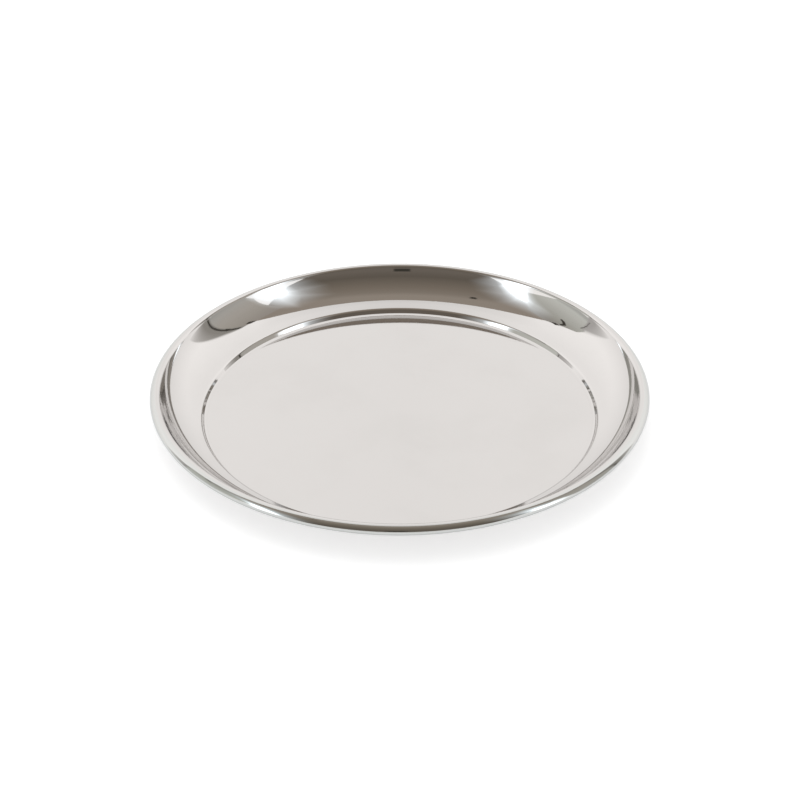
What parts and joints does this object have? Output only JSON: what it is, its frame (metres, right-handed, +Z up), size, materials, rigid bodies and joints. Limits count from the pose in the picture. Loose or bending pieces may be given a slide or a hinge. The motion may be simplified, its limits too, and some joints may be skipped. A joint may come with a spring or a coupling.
{
  "type": "round serving tray",
  "caption": "Round polished stainless serving tray: flat well, small step, coved wall and a rim rolled over a wire, for carrying and serving.",
  "frame": {"origin": "on the table plane, under the middle of the well", "axes": "+Z up along the tray's axis of revolution; X and Y lie in the table plane and are alike"},
  "size_m": [0.355, 0.355, 0.0275],
  "materials": {
    "polished_steel": "mirror-polished stainless steel",
    "wire_steel": "drawn steel wire, satin"
  },
  "bodies": {
    "root": {"tray_pan": "polished_steel", "rim_wire": "wire_steel"}
  },
  "joints": []
}
